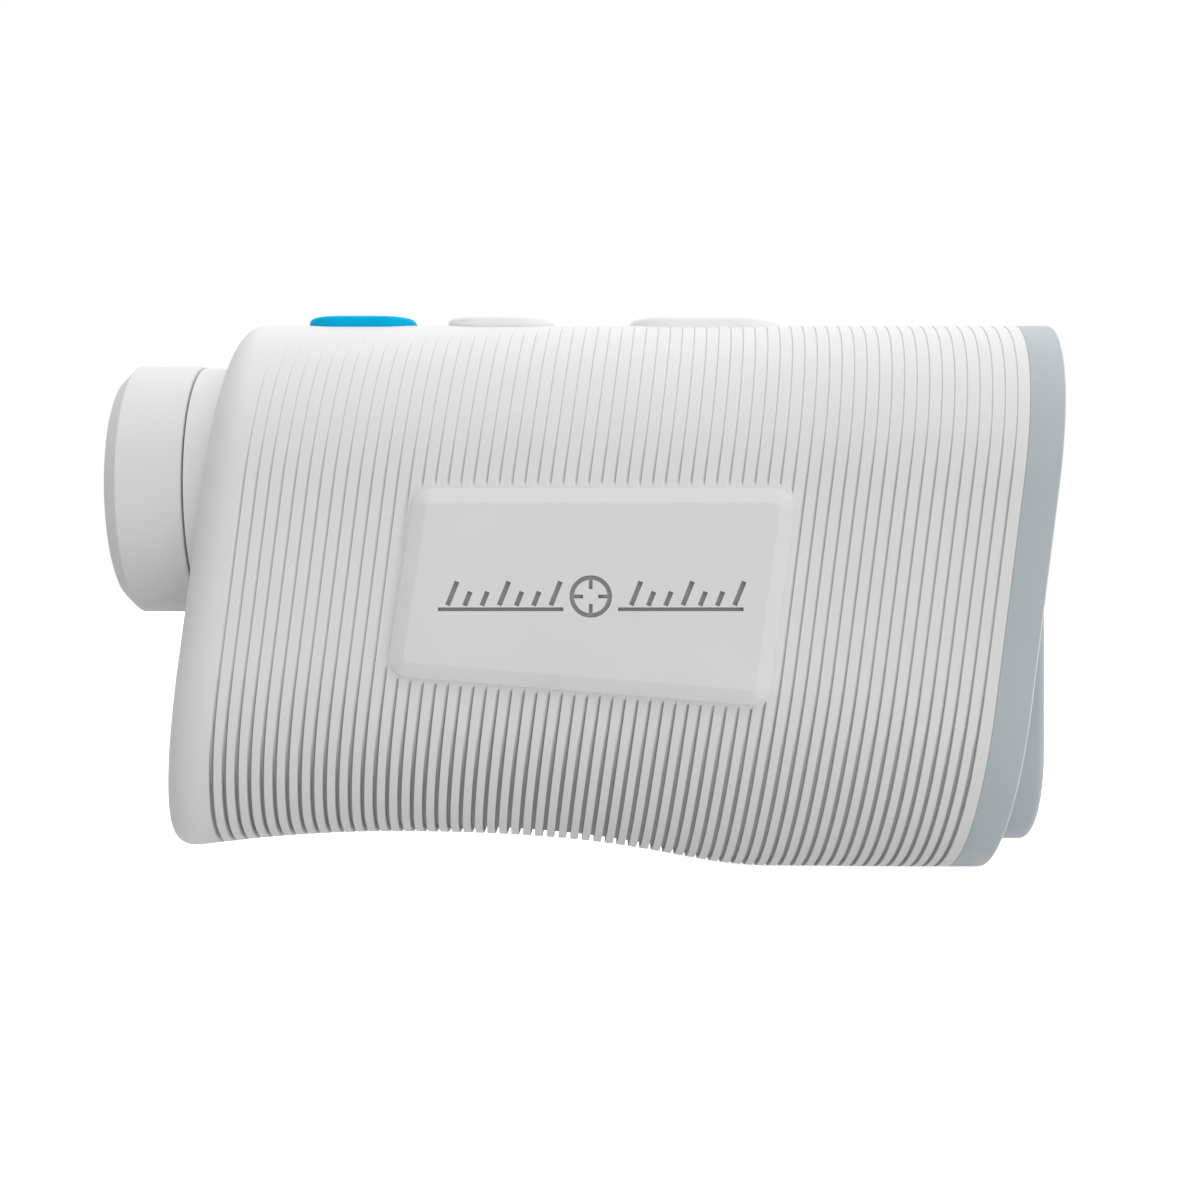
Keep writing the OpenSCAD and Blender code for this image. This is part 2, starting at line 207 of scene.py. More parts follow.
def lathe(name, profile, axis_z, segments=144):
    """Turns a closed (radius, X) outline round a line along X."""
    rings = []
    for i in range(segments):
        turn = 2 * math.pi * i / segments
        c, s = math.cos(turn), math.sin(turn)
        rings.append([(x, r * c, axis_z + r * s) for r, x in profile])
    return loft(name, rings, closed=True)


def rod(radius, x1, x2, axis_z, radius_2=None, segments=144):
    """A capped cylinder or cone along X, used as a cutter."""
    rings = []
    for x, r in ((x1, radius), (x2, radius if radius_2 is None else radius_2)):
        rings.append([
            (x, r * math.cos(2 * math.pi * i / segments), axis_z + r * math.sin(2 * math.pi * i / segments))
            for i in range(segments)
        ])
    return loft("cutter", rings)


def rounded_rectangle(length, width, radius, steps=10):
    """Outline in X and Y, anticlockwise, with the same number of points at any size."""
    points = []
    for i, (sx, sy) in enumerate(((1, 1), (-1, 1), (-1, -1), (1, -1))):
        centre = (sx * (length / 2 - radius), sy * (width / 2 - radius))
        for k in range(steps + 1):
            turn = math.pi / 2 * (i + k / steps)
            points.append((centre[0] + radius * math.cos(turn), centre[1] + radius * math.sin(turn)))
    return points


def key_ring(x, z, length, width, radius, inset=0.0):
    """A rounded rectangle at a height, drawn in by an inset all round."""
    radius = max(radius - inset, 0.2)
    outline = rounded_rectangle(length - 2 * inset, width - 2 * inset, radius)
    return [(x + a, b, z) for a, b in outline]


def slot_cutter(x, length, width, radius, z1, z2):
    return loft("cutter", [key_ring(x, z, length, width, radius) for z in (z1, z2)])


def block(x, y, z):
    """A plain box used as a cutter."""
    rings = [[(a, y[0], z[0]), (a, y[1], z[0]), (a, y[1], z[1]), (a, y[0], z[1])] for a in x]
    return loft("cutter", rings)


# ---------------------------------------------------------------- casing section
def underside(x):
    """Height of the casing's lowest line along X: flat in front, then the rise into the grip."""
    t = np.linspace(0, 1, 60)
    knots = ((24, 0), (11, 0), (8, 4.25), (-24, 4.25))
    weights = ((1 - t) ** 3, 3 * (1 - t) ** 2 * t, 3 * (1 - t) * t * t, t ** 3)
    curve = sum(w[:, None] * np.array(k, float) for w, k in zip(weights, knots))
    rise = np.interp(x, curve[::-1, 0], curve[::-1, 1])
    return rise - 2.1 * (np.clip(-24 - x, 0, None) / 26.4) ** 2


def flank_foot(x):
    """Height where the flank starts to turn under: lower towards the lenses."""
    return 26.5 - 5 * smooth((x - 12) / 28)


def lower_exponent(x):
    """2 is an ellipse; larger is squarer."""
    return 2.07 + 0.13 * smooth((x - 24) / 16)


def arc_angles(width, height, exponent, spacing):
    """Angles of a quarter superellipse at given distances from its widest point."""
    angle = np.linspace(0, math.pi / 2, 4000)
    y = width * np.cos(angle) ** (2 / exponent)
    z = height * np.sin(angle) ** (2 / exponent)
    length = np.concatenate([[0], np.cumsum(np.hypot(np.diff(y), np.diff(z)))])
    fine, mid, coarse = spacing
    at = np.concatenate([np.arange(0, mid, fine), np.arange(mid, length[-1] - 0.6, coarse)])
    parting = length[-1] - np.array([0.3, 0.15, 0.05, 0.0])
    return np.interp(np.concatenate([at, parting]), length, angle)


def section_rows(fine=0.3, coarse=0.8):
    """Rows of half the section, from the crown to the lowest line, as zone and parameter."""
    upper = arc_angles(20.3, 21, 2.1, (fine, 2.4, coarse))[::-1]
    lower = arc_angles(20.1, 20, 2.2, (fine, 5.0, coarse))
    heights = np.concatenate([
        np.arange(UPPER_Z - fine, 43.5, -fine), np.arange(43.5, 27, -coarse),
        np.arange(27, FLANK_FOOT + fine / 2, -fine),
    ])
    zone = np.concatenate([np.zeros(len(upper)), np.ones(len(heights)), np.full(len(lower), 2)])
    return zone, np.concatenate([upper, heights, lower])


def half_section(x0, rows):
    """Y, Z and the outward normal of half the section, for each column X and each row."""
    zone, value = rows
    bottom = underside(x0 + LEAN * 3)[:, None]
    foot = flank_foot(x0)[:, None]
    power = 2 / lower_exponent(x0)[:, None]
    angle = np.where(zone == 1, 0, value)
    c, s = np.cos(angle).clip(0), np.sin(angle).clip(0)
    y = HALF_W * np.where(zone == 0, c ** CROWN_POWER, c ** power)
    z = np.where(zone == 0, UPPER_Z + (CROWN_Z - UPPER_Z) * s ** CROWN_POWER, 0)
    z = np.where(zone == 1, foot + (value - FLANK_FOOT) * (UPPER_Z - foot) / (UPPER_Z - FLANK_FOOT), z)
    z = np.where(zone == 2, foot - (foot - bottom) * s ** power, z)
    y[:, 0] = y[:, -1] = 0
    dy, dz = np.gradient(y, axis=1), np.gradient(z, axis=1)
    dy[:, [0, -1]], dz[:, [0, -1]] = (1, -1), 0
    size = np.hypot(dy, dz)
    return y, z, -dz / size, dy / size


def rear_bulge(z):
    """How far the rear face departs from its plane: forward at the top, rearward at the bottom."""
    above = 0.3 * np.clip((z - 38) / 23, 0, 1.2) ** 2
    return above - 0.5 * np.clip((38 - z) / 30, 0, 1.2) ** 2


def plate_outline(inset, steps=8):
    """The badge plate's outline in X and Z, drawn in by an inset."""
    corners = [np.array(p, float) for p in PLATE_CORNERS]
    lines = []
    for i, start in enumerate(corners):
        along = corners[(i + 1) % 4] - start
        along /= np.linalg.norm(along)
        lines.append((start + inset * np.array([-along[1], along[0]]), along))
    moved = []
    for i, (point, along) in enumerate(lines):
        other, direction = lines[i - 1]
        t = np.linalg.solve(np.column_stack([along, -direction]), other - point)[0]
        moved.append(point + t * along)
    radius = max(PLATE_CORNER_R - inset, 0.0)
    return fillet_loop([(p[0], p[1], radius) for p in moved], steps) if radius else moved


def plate_distance(x, z):
    """Distance outside the badge plate's outline, in the side view."""
    core = plate_outline(PLATE_CORNER_R)
    nearest = np.full(x.shape, 1e9)
    inside = np.ones(x.shape, bool)
    for i, start in enumerate(core):
        along = core[(i + 1) % 4] - start
        t = np.clip(((x - start[0]) * along[0] + (z - start[1]) * along[1]) / (along @ along), 0, 1)
        nearest = np.minimum(nearest, np.hypot(x - start[0] - t * along[0], z - start[1] - t * along[1]))
        inside &= along[0] * (z - start[1]) - along[1] * (x - start[0]) > 0
    return np.where(inside, -nearest, nearest) - PLATE_CORNER_R


SLOPE_X = sum(p.x for p in box_mm("slope_surround")) / 2


def groove_narrowing(z):
    """The grooves draw in towards their front edge over the crown."""
    return 1 - 0.45 * smooth((z - UPPER_Z) / 8)


def groove_front(index, z):
    """Front edge of each groove; it stands a little further forward above the grip."""
    return FIRST_GROOVE + PITCH * index + GROOVE_FRONT + 0.06 * smooth((z - 16) / 9)


def groove_depth(x0, x, y, z):
    """Depth of the ribs' grooves below the bare casing."""
    index = np.clip(np.round((x0 - FIRST_GROOVE) / PITCH), 0, GROOVES - 1)
    phase = GROOVE_FRONT + (x0 - groove_front(index, z)) / groove_narrowing(z)
    deep = UPPER_DEPTH * (1 - 0.52 * smooth((z - UPPER_Z) / 8))
    lower = LOWER_DEPTH - 0.2 * smooth((x + 20) / 50)
    deep = deep + (lower - UPPER_DEPTH) * smooth((30 - z) / 20)
    back = lower * smooth((19 - z) / 9)
    along = (phase - GROOVE_BACK - GROOVE_WALL) / (GROOVE_FRONT - GROOVE_BACK - 2 * GROOVE_WALL)
    ramp = back + (deep - back) * np.clip(along, 0, 1) ** (1.15 - 0.3 * smooth((26 - z) / 10))
    walls = np.clip((phase - GROOVE_BACK) / GROOVE_WALL, 0, 1)
    walls = walls * np.clip((GROOVE_FRONT - phase) / GROOVE_WALL, 0, 1)
    beside_plate = smooth((plate_distance(x, z) - 0.4) / 0.35)
    bare_top = np.interp(x, (-38, -5, -3), (13, 5, -6))
    rear_top = np.where(z > UPPER_Z, smooth((np.abs(y) - bare_top) / 5), 1)
    from_oval = np.hypot(np.clip(np.abs(x - SLOPE_X) - 4.1, 0, None), y) - 5.5
    oval = np.where(z > UPPER_Z, smooth((from_oval - 0.15) / 0.4), 1)
    return ramp * walls * beside_plate * rear_top * oval


def rear_inset(from_rear, ny, nz, thinner=0.0):
    """Drawing-in round the rear edge, at distances from the rear plane."""
    ends = np.where(nz > 0, CROWN_FILLET, FOOT_FILLET)
    radius = ends + (REAR_FILLET - ends) * ny ** 2 - thinner
    return np.where(
        from_rear < radius,
        radius - np.sqrt(np.clip(radius ** 2 - (radius - from_rear) ** 2, 0, None)),
        0,
    )


def casing_solid(name, x0, wall, rows, grooved):
    """A closed solid through leaning cross planes, drawn in by a wall."""
    y, z, ny, nz = half_section(x0, rows)
    from_rear = (x0 - x0[0])[:, None]
    depth = wall + rear_inset(from_rear, ny, nz, wall)
    plane = np.broadcast_to(x0[:, None], y.shape)
    if grooved:
        index = np.clip(np.round((plane - FIRST_GROOVE) / PITCH), 0, GROOVES - 1)
        front = FIRST_GROOVE + PITCH * index + GROOVE_FRONT
        in_groove = (plane > front + GROOVE_BACK - GROOVE_FRONT - 0.01) & (plane < front + 0.01)
        moved = groove_front(index, z) + (plane - front) * groove_narrowing(z)
        plane = np.where(in_groove, moved, plane)
        depth = depth + groove_depth(plane, plane + LEAN * z, y, z)
        depth = depth + 0.1 * smooth((0.12 - y) / 0.1)
    y, z = y - ny * depth, z - nz * depth
    x = plane + LEAN * z + rear_bulge(z) * (1 - smooth(from_rear / 6))
    both = [np.concatenate([a, b[:, -2:0:-1]], axis=1) for a, b in ((x, x), (-y, y), (z, z))]
    rings = list(np.stack(both, axis=2))
    rear = []
    steps = 8
    foot = flank_foot(x0[:1])[0]
    for k in range(steps, 0, -1):
        ring = rings[0].copy()
        middle = np.clip(ring[:, 2], foot, UPPER_Z)
        ring[:, 1] *= 1 - k / steps
        ring[:, 2] += (middle - ring[:, 2]) * k / steps
        ring[:, 0] = x0[0] + LEAN * ring[:, 2] + rear_bulge(ring[:, 2])
        rear.append(ring)
    rings = rear + rings
    size = len(rings[0])
    faces = ring_faces(len(rings), size)
    faces.append(tuple(range((len(rings) - 1) * size, len(rings) * size)))
    return mesh_object(name, np.concatenate(rings), faces)


def rear_columns(steps):
    """Distances from the rear plane of the columns round the rear edge."""
    return REAR_FILLET * (1 - np.cos(np.linspace(0, math.pi / 2, steps + 1)[:-1]))


def on_battery_axis():
    """Matrix of the battery's axis, which stands square to the leaning rear face."""
    low, high = box_mm("battery_cap")
    z = (low.z + high.z) / 2
    z += (CAP_FACE + WALL) / 2 * math.sin(LEAN_ANGLE)
    return Matrix.Translation((REAR_X + LEAN * z, 0, z)) @ Matrix.Rotation(LEAN_ANGLE, 4, "Y")


def hollow():
    """The room inside the casing."""
    x0 = np.concatenate([
        REAR_X + WALL + rear_columns(8) * 0.6, np.arange(REAR_X + 6, SEAM_X, 3.0), [SEAM_X + 2],
    ])
    return casing_solid("cutter", x0, WALL, section_rows(1.0, 1.6), False)


def ribbed_casing():
    """Both casing halves as one solid, before it is cut along the middle plane."""
    offsets = (GROOVE_BACK, GROOVE_BACK + GROOVE_WALL, -0.22, -0.08, GROOVE_FRONT - GROOVE_WALL, GROOVE_FRONT)
    grooves = [
        FIRST_GROOVE + PITCH * i + step
        for i in range(GROOVES)
        for step in (*offsets, PITCH / 2 - 0.17)
    ][:-1]
    x0 = np.concatenate([REAR_X + rear_columns(13), grooves, [SEAM_X - 0.1, SEAM_X]])
    casing = casing_solid("casing", x0, 0.0, section_rows(), True)
    cap_bore = rod(9.8, -10, 6, 0)
    place(cap_bore, on_battery_axis())
    cap_edge = rod(12.1, -2, 0.4, 0, 9.7)
    place(cap_edge, on_battery_axis())
    holes = [
        hollow(), rod(15.06, -70, -34, AXIS_Z), cap_bore, cap_edge,
        slot_cutter(SLOPE_X, 15, 6.6, 3.2, 60, 75),
    ]
    for node in ("fire_button", "mode_button"):
        low, high = box_mm(node)
        x = (low.x + high.x) / 2
        holes.append(slot_cutter(x, high.x - low.x - 1.2, high.y - low.y - 0.6, 4.5, 60, 75))
    return carve(casing, *holes)


def casing_half(name, node, side, source):
    half = source.copy()
    half.data = source.data.copy()
    half.name = name
    bpy.context.scene.collection.objects.link(half)
    y = (0.02, 40) if side > 0 else (-40, -0.02)
    carve(half, block((-90, 90), y, (-20, 90)), operation="INTERSECT")
    shade(half, 24)
    points = np.empty(len(half.data.vertices) * 3)
    half.data.vertices.foreach_get("co", points)
    x, y, z = points.reshape(-1, 3).T / MM
    depth = groove_depth(x - LEAN * z, x, y, z)
    # Groove depth, kept on the mesh for the painted shade in the grooves.
    mark = half.data.attributes.new("groove", "FLOAT", "POINT")
    mark.data.foreach_set("value", (depth / LOWER_DEPTH).clip(0, 1).astype(np.float32))
    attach(half, "housing")
    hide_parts(node)
    return half


# ---------------------------------------------------------------- materials
def shader(name, color, roughness, metallic=0.0, **sockets):
    """A Principled material with its node tree, shader and links."""
    material = bpy.data.materials.new(name)
    material.use_nodes = True
    tree = material.node_tree
    surface = tree.nodes["Principled BSDF"]
    surface.inputs["Base Color"].default_value = (*color, 1)
    surface.inputs["Roughness"].default_value = roughness
    surface.inputs["Metallic"].default_value = metallic
    for socket, value in sockets.items():
        surface.inputs[socket.replace("_", " ")].default_value = value
    return material, tree, surface


def noise(tree, scale, detail=2.0, stretch=(1, 1, 1)):
    """A noise in the piece's own coordinates; scale is in turns a metre."""
    coords = tree.nodes.new("ShaderNodeTexCoord")
    mapping = tree.nodes.new("ShaderNodeMapping")
    mapping.inputs["Scale"].default_value = stretch
    texture = tree.nodes.new("ShaderNodeTexNoise")
    texture.inputs["Scale"].default_value = scale
    texture.inputs["Detail"].default_value = detail
    tree.links.new(coords.outputs["Object"], mapping.inputs["Vector"])
    tree.links.new(mapping.outputs["Vector"], texture.inputs["Vector"])
    return texture.outputs["Fac"]


def ranged(tree, value, low, high, start=0.3, end=0.7):
    node = tree.nodes.new("ShaderNodeMapRange")
    for socket, number in (("From Min", start), ("From Max", end), ("To Min", low), ("To Max", high)):
        node.inputs[socket].default_value = number
    tree.links.new(value, node.inputs["Value"])
    return node.outputs["Result"]


def mixed(tree, factor, first, second):
    """Colour from first to second; either is a colour or another node's output."""
    node = tree.nodes.new("ShaderNodeMix")
    node.data_type = "RGBA"
    tree.links.new(factor, node.inputs["Factor"])
    for socket, value in (("A", first), ("B", second)):
        target = [i for i in node.inputs if i.name == socket and i.type == "RGBA"][0]
        if isinstance(value, tuple):
            target.default_value = (*value, 1)
        else:
            tree.links.new(value, target)
    return [o for o in node.outputs if o.type == "RGBA"][0]


def bump(tree, surface, height, strength, distance):
    node = tree.nodes.new("ShaderNodeBump")
    node.inputs["Strength"].default_value = strength
    node.inputs["Distance"].default_value = distance
    tree.links.new(height, node.inputs["Height"])
    tree.links.new(node.outputs["Normal"], surface.inputs["Normal"])


def scaled(color, factor):
    return tuple(min(1.0, c * factor) for c in color)


def plastic(name, color, roughness, grain=5200, grain_strength=0.25, **sockets):
    """Moulded plastic: fine spark-erosion grain, slight mottling and uneven gloss."""
    sockets = {"Specular_IOR_Level": 0.3, **sockets}
    material, tree, surface = shader(name, color, roughness, **sockets)
    mottle = mixed(tree, ranged(tree, noise(tree, 90), 0, 1), scaled(color, 0.985), scaled(color, 1.01))
    tree.links.new(mottle, surface.inputs["Base Color"])
    gloss = ranged(tree, noise(tree, 260, 3), roughness - 0.05, roughness + 0.06)
    tree.links.new(gloss, surface.inputs["Roughness"])
    bump(tree, surface, noise(tree, grain, 1), grain_strength, 0.00003)
    return material, tree, surface, mottle


def casing_plastic(name, color):
    """Casing plastic whose grooves are painted darker by the mesh's groove attribute: painted shade in the
    grooves.
    """
    material, tree, surface, mottle = plastic(name, color, 0.55)
    depth = tree.nodes.new("ShaderNodeAttribute")
    depth.attribute_name = "groove"
    # Painted shade: the colour darkens towards 0.55 of the white as the groove deepens.
    painted_groove_shade = ranged(tree, depth.outputs["Fac"], 0, 1, 0.04, 0.95)
    tree.links.new(mixed(tree, painted_groove_shade, mottle, scaled(color, 0.55)), surface.inputs["Base Color"])
    return material


def edged_plastic(name, color, light):
    """Plastic with a painted highlight, a lighter colour along the edge, by the mesh's edge attribute."""
    material, tree, surface, mottle = plastic(name, color, 0.5)
    edge = tree.nodes.new("ShaderNodeAttribute")
    edge.attribute_name = "edge"
    # Painted highlight: the edge attribute blends towards the lighter colour.
    painted_edge_highlight = ranged(tree, edge.outputs["Fac"], 0, 1, 0.0, 1.0)
    tree.links.new(mixed(tree, painted_edge_highlight, mottle, light), surface.inputs["Base Color"])
    return material


def metal(name, color, roughness, stretch=(1, 1, 1)):
    """Metal with fine tool marks and uneven polish."""
    material, tree, surface = shader(name, color, roughness, 1.0)
    marks = noise(tree, 2400, 2, stretch)
    tone = mixed(tree, ranged(tree, marks, 0, 1), scaled(color, 0.9), scaled(color, 1.06))
    tree.links.new(tone, surface.inputs["Base Color"])
    polish = ranged(tree, noise(tree, 500), roughness - 0.06, roughness + 0.08)
    tree.links.new(polish, surface.inputs["Roughness"])
    bump(tree, surface, marks, 0.15, 0.00002)
    return material


def coated_glass(name, color, haze=0.03):
    """Coated lens glass with a faint uneven haze."""
    material, tree, surface = shader(name, color, haze, IOR=1.52, Transmission_Weight=1.0, Coat_Weight=0.6)
    film = mixed(tree, ranged(tree, noise(tree, 120), 0, 1), scaled(color, 0.94), scaled(color, 1.04))
    tree.links.new(film, surface.inputs["Base Color"])
    tree.links.new(ranged(tree, noise(tree, 300), haze * 0.5, haze * 2), surface.inputs["Roughness"])
    return material


def solder_mask(name, color):
    """Circuit board: glossy mask over faint copper tracks."""
    material, tree, surface = shader(name, color, 0.35, Coat_Weight=0.3)
    tracks = tree.nodes.new("ShaderNodeTexBrick")
    tracks.inputs["Scale"].default_value = 420
    tracks.inputs["Mortar Size"].default_value = 0.03
    coords = tree.nodes.new("ShaderNodeTexCoord")
    tree.links.new(coords.outputs["Object"], tracks.inputs["Vector"])
    tone = mixed(tree, tracks.outputs["Fac"], color, scaled(color, 1.7))
    tree.links.new(tone, surface.inputs["Base Color"])
    bump(tree, surface, tracks.outputs["Fac"], 0.2, 0.00003)
    return material


def wrapped(name, color):
    """Battery sleeve: shrink film with a faint sheen and a lighter band at its positive end."""
    material, tree, surface, mottle = plastic(name, color, 0.28, 900, 0.1, Coat_Weight=0.4)
    coords = tree.nodes.new("ShaderNodeTexCoord")
    split = tree.nodes.new("ShaderNodeSeparateXYZ")
    tree.links.new(coords.outputs["Object"], split.inputs["Vector"])
    band = ranged(tree, split.outputs["X"], 0, 1, -0.0245, -0.0243)
    tree.links.new(mixed(tree, band, mottle, (0.7, 0.71, 0.72)), surface.inputs["Base Color"])
    return material


WHITE = (0.80, 0.80, 0.80)
PLATE_GREY = (0.78, 0.78, 0.78)
BEZEL_GREY = (0.47, 0.52, 0.55)

MATERIALS = {
    "casing_white": casing_plastic("casing_white", WHITE),
    # Lighter copy of the casing white for the raised controls: painted light.
    "control_white_painted_light": plastic("control_white_painted_light", (0.94, 0.94, 0.94), 0.5)[0],
    # Darker grey for the engraving's floor and walls: painted shade in the cuts.
    "engraving_painted_shade": plastic("engraving_painted_shade", (0.42, 0.42, 0.42), 0.6)[0],
    "plate_grey": plastic("plate_grey", PLATE_GREY, 0.5, 6500, 0.15)[0],
    # The lighter colour is a painted highlight on the bezel's front edge.
    "bezel_grey": edged_plastic("bezel_grey", BEZEL_GREY, (0.78, 0.84, 0.86)),
    "fire_blue": plastic("fire_blue", (0.0, 0.47, 0.82), 0.55, 6500, 0.12, Specular_IOR_Level=0.05)[0],
    "eyecup_white": plastic("eyecup_white", (0.78, 0.78, 0.78), 0.62, 6500, 0.3)[0],
    "lens_glass": coated_glass("lens_glass", (0.80, 0.93, 0.90)),
    "receiver_glass": coated_glass("receiver_glass", (0.62, 0.10, 0.10)),
    "black_metal": metal("black_metal", (0.03, 0.03, 0.033), 0.4, (8, 1, 1)),
    "chassis_plastic": plastic("chassis_plastic", (0.03, 0.031, 0.033), 0.6)[0],
    "prism_glass": coated_glass("prism_glass", (0.86, 0.93, 0.93), 0.01),
    "circuit_board": solder_mask("circuit_board", (0.02, 0.13, 0.05)),
    "chip_black": plastic("chip_black", (0.02, 0.02, 0.022), 0.5, 3000, 0.3)[0],
    "switch_metal": metal("switch_metal", (0.62, 0.63, 0.64), 0.3, (1, 12, 1)),
    "contact_gold": metal("contact_gold", (0.83, 0.62, 0.22), 0.25),
    "seal_silicone": plastic("seal_silicone", (0.035, 0.036, 0.038), 0.7, 2500, 0.3)[0],
    "flex_film": plastic("flex_film", (0.5, 0.2, 0.03), 0.3, 1800, 0.1, Coat_Weight=0.3)[0],
    "magnet_metal": metal("magnet_metal", (0.7, 0.7, 0.69), 0.2),
    "battery_wrap": wrapped("battery_wrap", (0.04, 0.14, 0.30)),
    "battery_case": plastic("battery_case", (0.05, 0.052, 0.055), 0.6)[0],
    "screw_steel": metal("screw_steel", (0.55, 0.56, 0.57), 0.3, (1, 1, 6)),
}


def finish_piece(piece, body, slot, *nodes, materials=None, angle=30):
    """Shading, finish, body and replaced CAD nodes of a new piece."""
    shade(piece, angle)
    piece.data.materials.clear()
    for name in materials or (slot,):
        piece.data.materials.append(MATERIALS[name])
    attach(piece, body)
    if nodes:
        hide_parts(*nodes)
    return piece


def mark_vertices(piece, name, test):
    """Writes a vertex attribute of ones where test(x, y, z) holds."""
    points = np.empty(len(piece.data.vertices) * 3)
    piece.data.vertices.foreach_get("co", points)
    x, y, z = points.reshape(-1, 3).T / MM
    mark = piece.data.attributes.new(name, "FLOAT", "POINT")
    mark.data.foreach_set("value", test(x, y, z).astype(np.float32))


def paint_faces(piece, index, test):
    """Gives the second material to faces whose centre passes test(x, y, z)."""
    for face in piece.data.polygons:
        if test(*(face.center / MM)):
            face.material_index = index


# ---------------------------------------------------------------- casing and front
casing = ribbed_casing()
for half_name, half_node, half_side in (
    ("ribbed_right_half", "right_shell", -1), ("ribbed_left_half", "left_shell", 1),
):
    half = casing_half(half_name, half_node, half_side, casing)
    half.data.materials.clear()
    half.data.materials.append(MATERIALS["casing_white"])
bpy.data.meshes.remove(casing.data)


def front_band(x_planes, insets):
    """A closed solid with the casing's front section, between leaning planes."""
    y, z, ny, nz = half_section(np.full(len(x_planes), SEAM_X), section_rows(0.6, 0.8))
    inset = np.array(insets, float)[:, None]
    y, z = y - ny * inset, z - nz * inset
    x = np.array(x_planes, float)[:, None] + LEAN * z
    both = [np.concatenate([a, b[:, -2:0:-1]], axis=1) for a, b in ((x, x), (-y, y), (z, z))]
    return loft("band", list(np.stack(both, axis=2)))


def pill_ring(x, radius, steps=48):
    """Pill outline round the two lens axes, at one X."""
    ring = []
    for centre, start in ((AXIS_Z, 0), (RECEIVER_Z, math.pi)):
        for k in range(steps + 1):
            turn = start + math.pi * k / steps
            ring.append((x, radius * math.cos(turn), centre + radius * math.sin(turn)))
    return ring


bezel = front_band(
    (SEAM_X + 0.02, SEAM_X + 0.09, RIM_X - 0.2, RIM_X - 0.06, RIM_X),
    (0.07, 0, 0, 0.06, 0.2),
)
recess = front_band((RIM_X - 2.4, RIM_X - 2.0, RIM_X - 0.3, RIM_X + 9), (1.7, 1.25, 1.2, 1.05))
inside = front_band((SEAM_X - 4, RIM_X - 4.2), (3.5, 3.5))
pill_hole = loft("cutter", [pill_ring(x, HOUSING_R + 0.1) for x in (20, 80)])
carve(bezel, recess, inside, pill_hole)
bezel.name = "bezel_band"
# The bezel's front rim edge, which its material paints lighter as a painted highlight.
mark_vertices(
    bezel, "edge",
    lambda x, y, z: (x - LEAN * z > RIM_X - 0.1) & ((np.abs(y) > HALF_W - 0.5) | (z > 48) | (z < 22)),
)
finish_piece(bezel, "housing", "bezel_grey", "front_bezel")

housing_x = housing_high.x
front_round = 1.0
pill_rings = [pill_ring(housing_low.x, HOUSING_R)]
for k in range(7):
    turn = math.pi / 2 * k / 6
    pill_rings.append(pill_ring(
        housing_x - front_round + front_round * math.sin(turn),
        HOUSING_R - front_round + front_round * math.cos(turn),
    ))
nose = loft("lens_block", pill_rings)
bores = []
for axis, radius in ((AXIS_Z, 10.4), (RECEIVER_Z, 9.6)):
    bores += [
        rod(radius, 42, 60, axis), rod(radius - 1, 30, 60, axis),
        rod(radius - 0.2, housing_x - 0.7, housing_x + 0.3, axis, radius + 0.8),
    ]
    for ring in range(4):
        x = housing_x - 1.3 - 0.5 * ring
        bores.append(lathe("cutter", fillet_loop([
            (radius - 0.5, x, 0), (radius + 0.22, x + 0.05, 0),
            (radius + 0.22, x + 0.25, 0), (radius - 0.5, x + 0.3, 0),
        ]), axis))
carve(nose, *bores)


def in_bore(x, y, z):
    return x < housing_x - 0.53 and (math.hypot(y, z - AXIS_Z) < 10.9 or math.hypot(y, z - RECEIVER_Z) < 10.1)


finish_piece(nose, "housing", "bezel_grey", "lens_housing", materials=("bezel_grey", "chassis_plastic"))
paint_faces(nose, 1, in_bore)


# ---------------------------------------------------------------- badge plates
def mark_cutters(y_face, side):
    """A generic range mark: a ring with a cross, between rows of slanted ticks."""
    depth = 0.5
    cutters = []

    def bar(x, z, length, width, slant):
        along = Vector((math.sin(slant), math.cos(slant)))
        across = Vector((along.y, -along.x))
        corners = []
        for a, b in ((-1, -1), (1, -1), (1, 1), (-1, 1)):
            p = Vector((x, z)) + across * (a * width / 2) + along * (b * length / 2)
            corners.append(p)
        rings = [[(p.x, y, p.y) for p in corners] for y in (side * (y_face - depth), side * (y_face + 2))]
        cutters.append(loft("cutter", rings))

    lean = math.radians(22)
    for i in range(1, 8):
        height = 2.9 if i % 3 == 1 else 1.7
        for way in (-1, 1):
            x = MARK_X + way * (2.6 + 1.95 * i) + 0.2 * height
            bar(x, MARK_Z - 1.1 + height / 2, height, 0.55, lean)
    for way in (-1, 1):
        bar(MARK_X + way * 10.2, MARK_Z - 1.45, 14.2, 0.42, math.pi / 2)
        bar(MARK_X + way * 1.5, MARK_Z, 1.3, 0.42, math.pi / 2)
        bar(MARK_X, MARK_Z + way * 1.5, 1.3, 0.42, 0)
    ring = []
    for i in range(64):
        turn = 2 * math.pi * i / 64
        c, s = math.cos(turn), math.sin(turn)
        ring.append([
            (MARK_X + r * c, side * y, MARK_Z + r * s)
            for r, y in ((1.9, y_face - depth), (2.4, y_face - depth), (2.4, y_face + 1), (1.9, y_face + 1))
        ])
    cutters.append(loft("cutter", ring, closed=True))
    return cutters


def in_mark(x, y, z):
    """True on the engraving's floor and walls, which take the painted shade."""
    beside = abs(x - MARK_X) < MARK_HALF_LENGTH and abs(z - MARK_Z) < MARK_HALF_HEIGHT
    return abs(y) < PLATE_Y - 0.1 and beside


